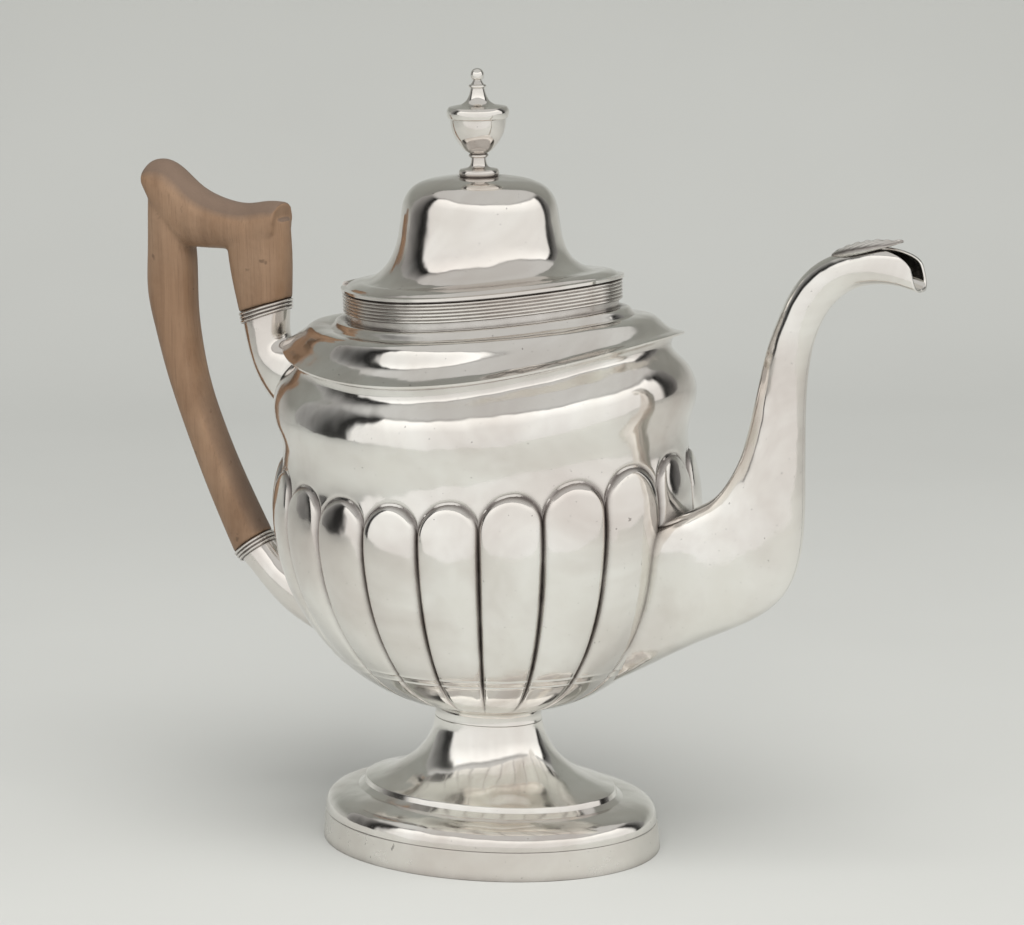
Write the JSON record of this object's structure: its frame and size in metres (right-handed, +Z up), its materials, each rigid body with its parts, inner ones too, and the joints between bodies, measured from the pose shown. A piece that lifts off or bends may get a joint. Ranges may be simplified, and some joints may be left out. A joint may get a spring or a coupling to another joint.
{
  "type": "coffee pot",
  "caption": "Oval silver coffee pot on a pedestal foot, with a lobed bowl, swan-neck spout, hinged domed lid with urn finial and a carved wooden handle",
  "frame": {"origin": "centre of the foot on the surface the pot stands on", "axes": "+X points to the spout, -X to the handle, +Z is up, +Y lies across the pot"},
  "size_m": [0.3221, 0.1356, 0.2846],
  "materials": {
    "silver_polished": "hand-polished silver with faint tarnish in the hollows",
    "silver_satin": "silver worn to a satin",
    "wood": "light brown fruitwood, waxed and worn"
  },
  "bodies": {
    "pot": {"foot_band": "silver_satin", "foot_dome": "silver_polished", "foot_joint_ring": "silver_polished", "body": "silver_polished", "shoulder": "silver_polished", "neck_collar": "silver_polished", "reeded_band": "silver_polished", "spout_left_half": "silver_polished", "spout_right_half": "silver_polished", "spout_leaf": "silver_polished", "upper_socket": "silver_polished", "lower_socket": "silver_polished", "upper_ferrule": "silver_polished", "lower_ferrule": "silver_polished", "upper_handle_pin": "silver_satin", "lower_handle_pin": "silver_satin", "wooden_handle": "wood", "hinge_on_collar": "silver_polished", "hinge_pin": "silver_satin"},
    "lid": {"lid": "silver_polished", "lid_bezel": "silver_polished", "finial": "silver_polished", "finial_nut": "silver_satin", "hinge_on_lid": "silver_polished"}
  },
  "joints": [
    {"name": "lid_hinge", "type": "hinge", "parent": "pot", "child": "lid", "pos_m": [-0.0543, 0, 0.2039], "axis": [0, -1, 0], "range_deg": [0, 80]}
  ]
}
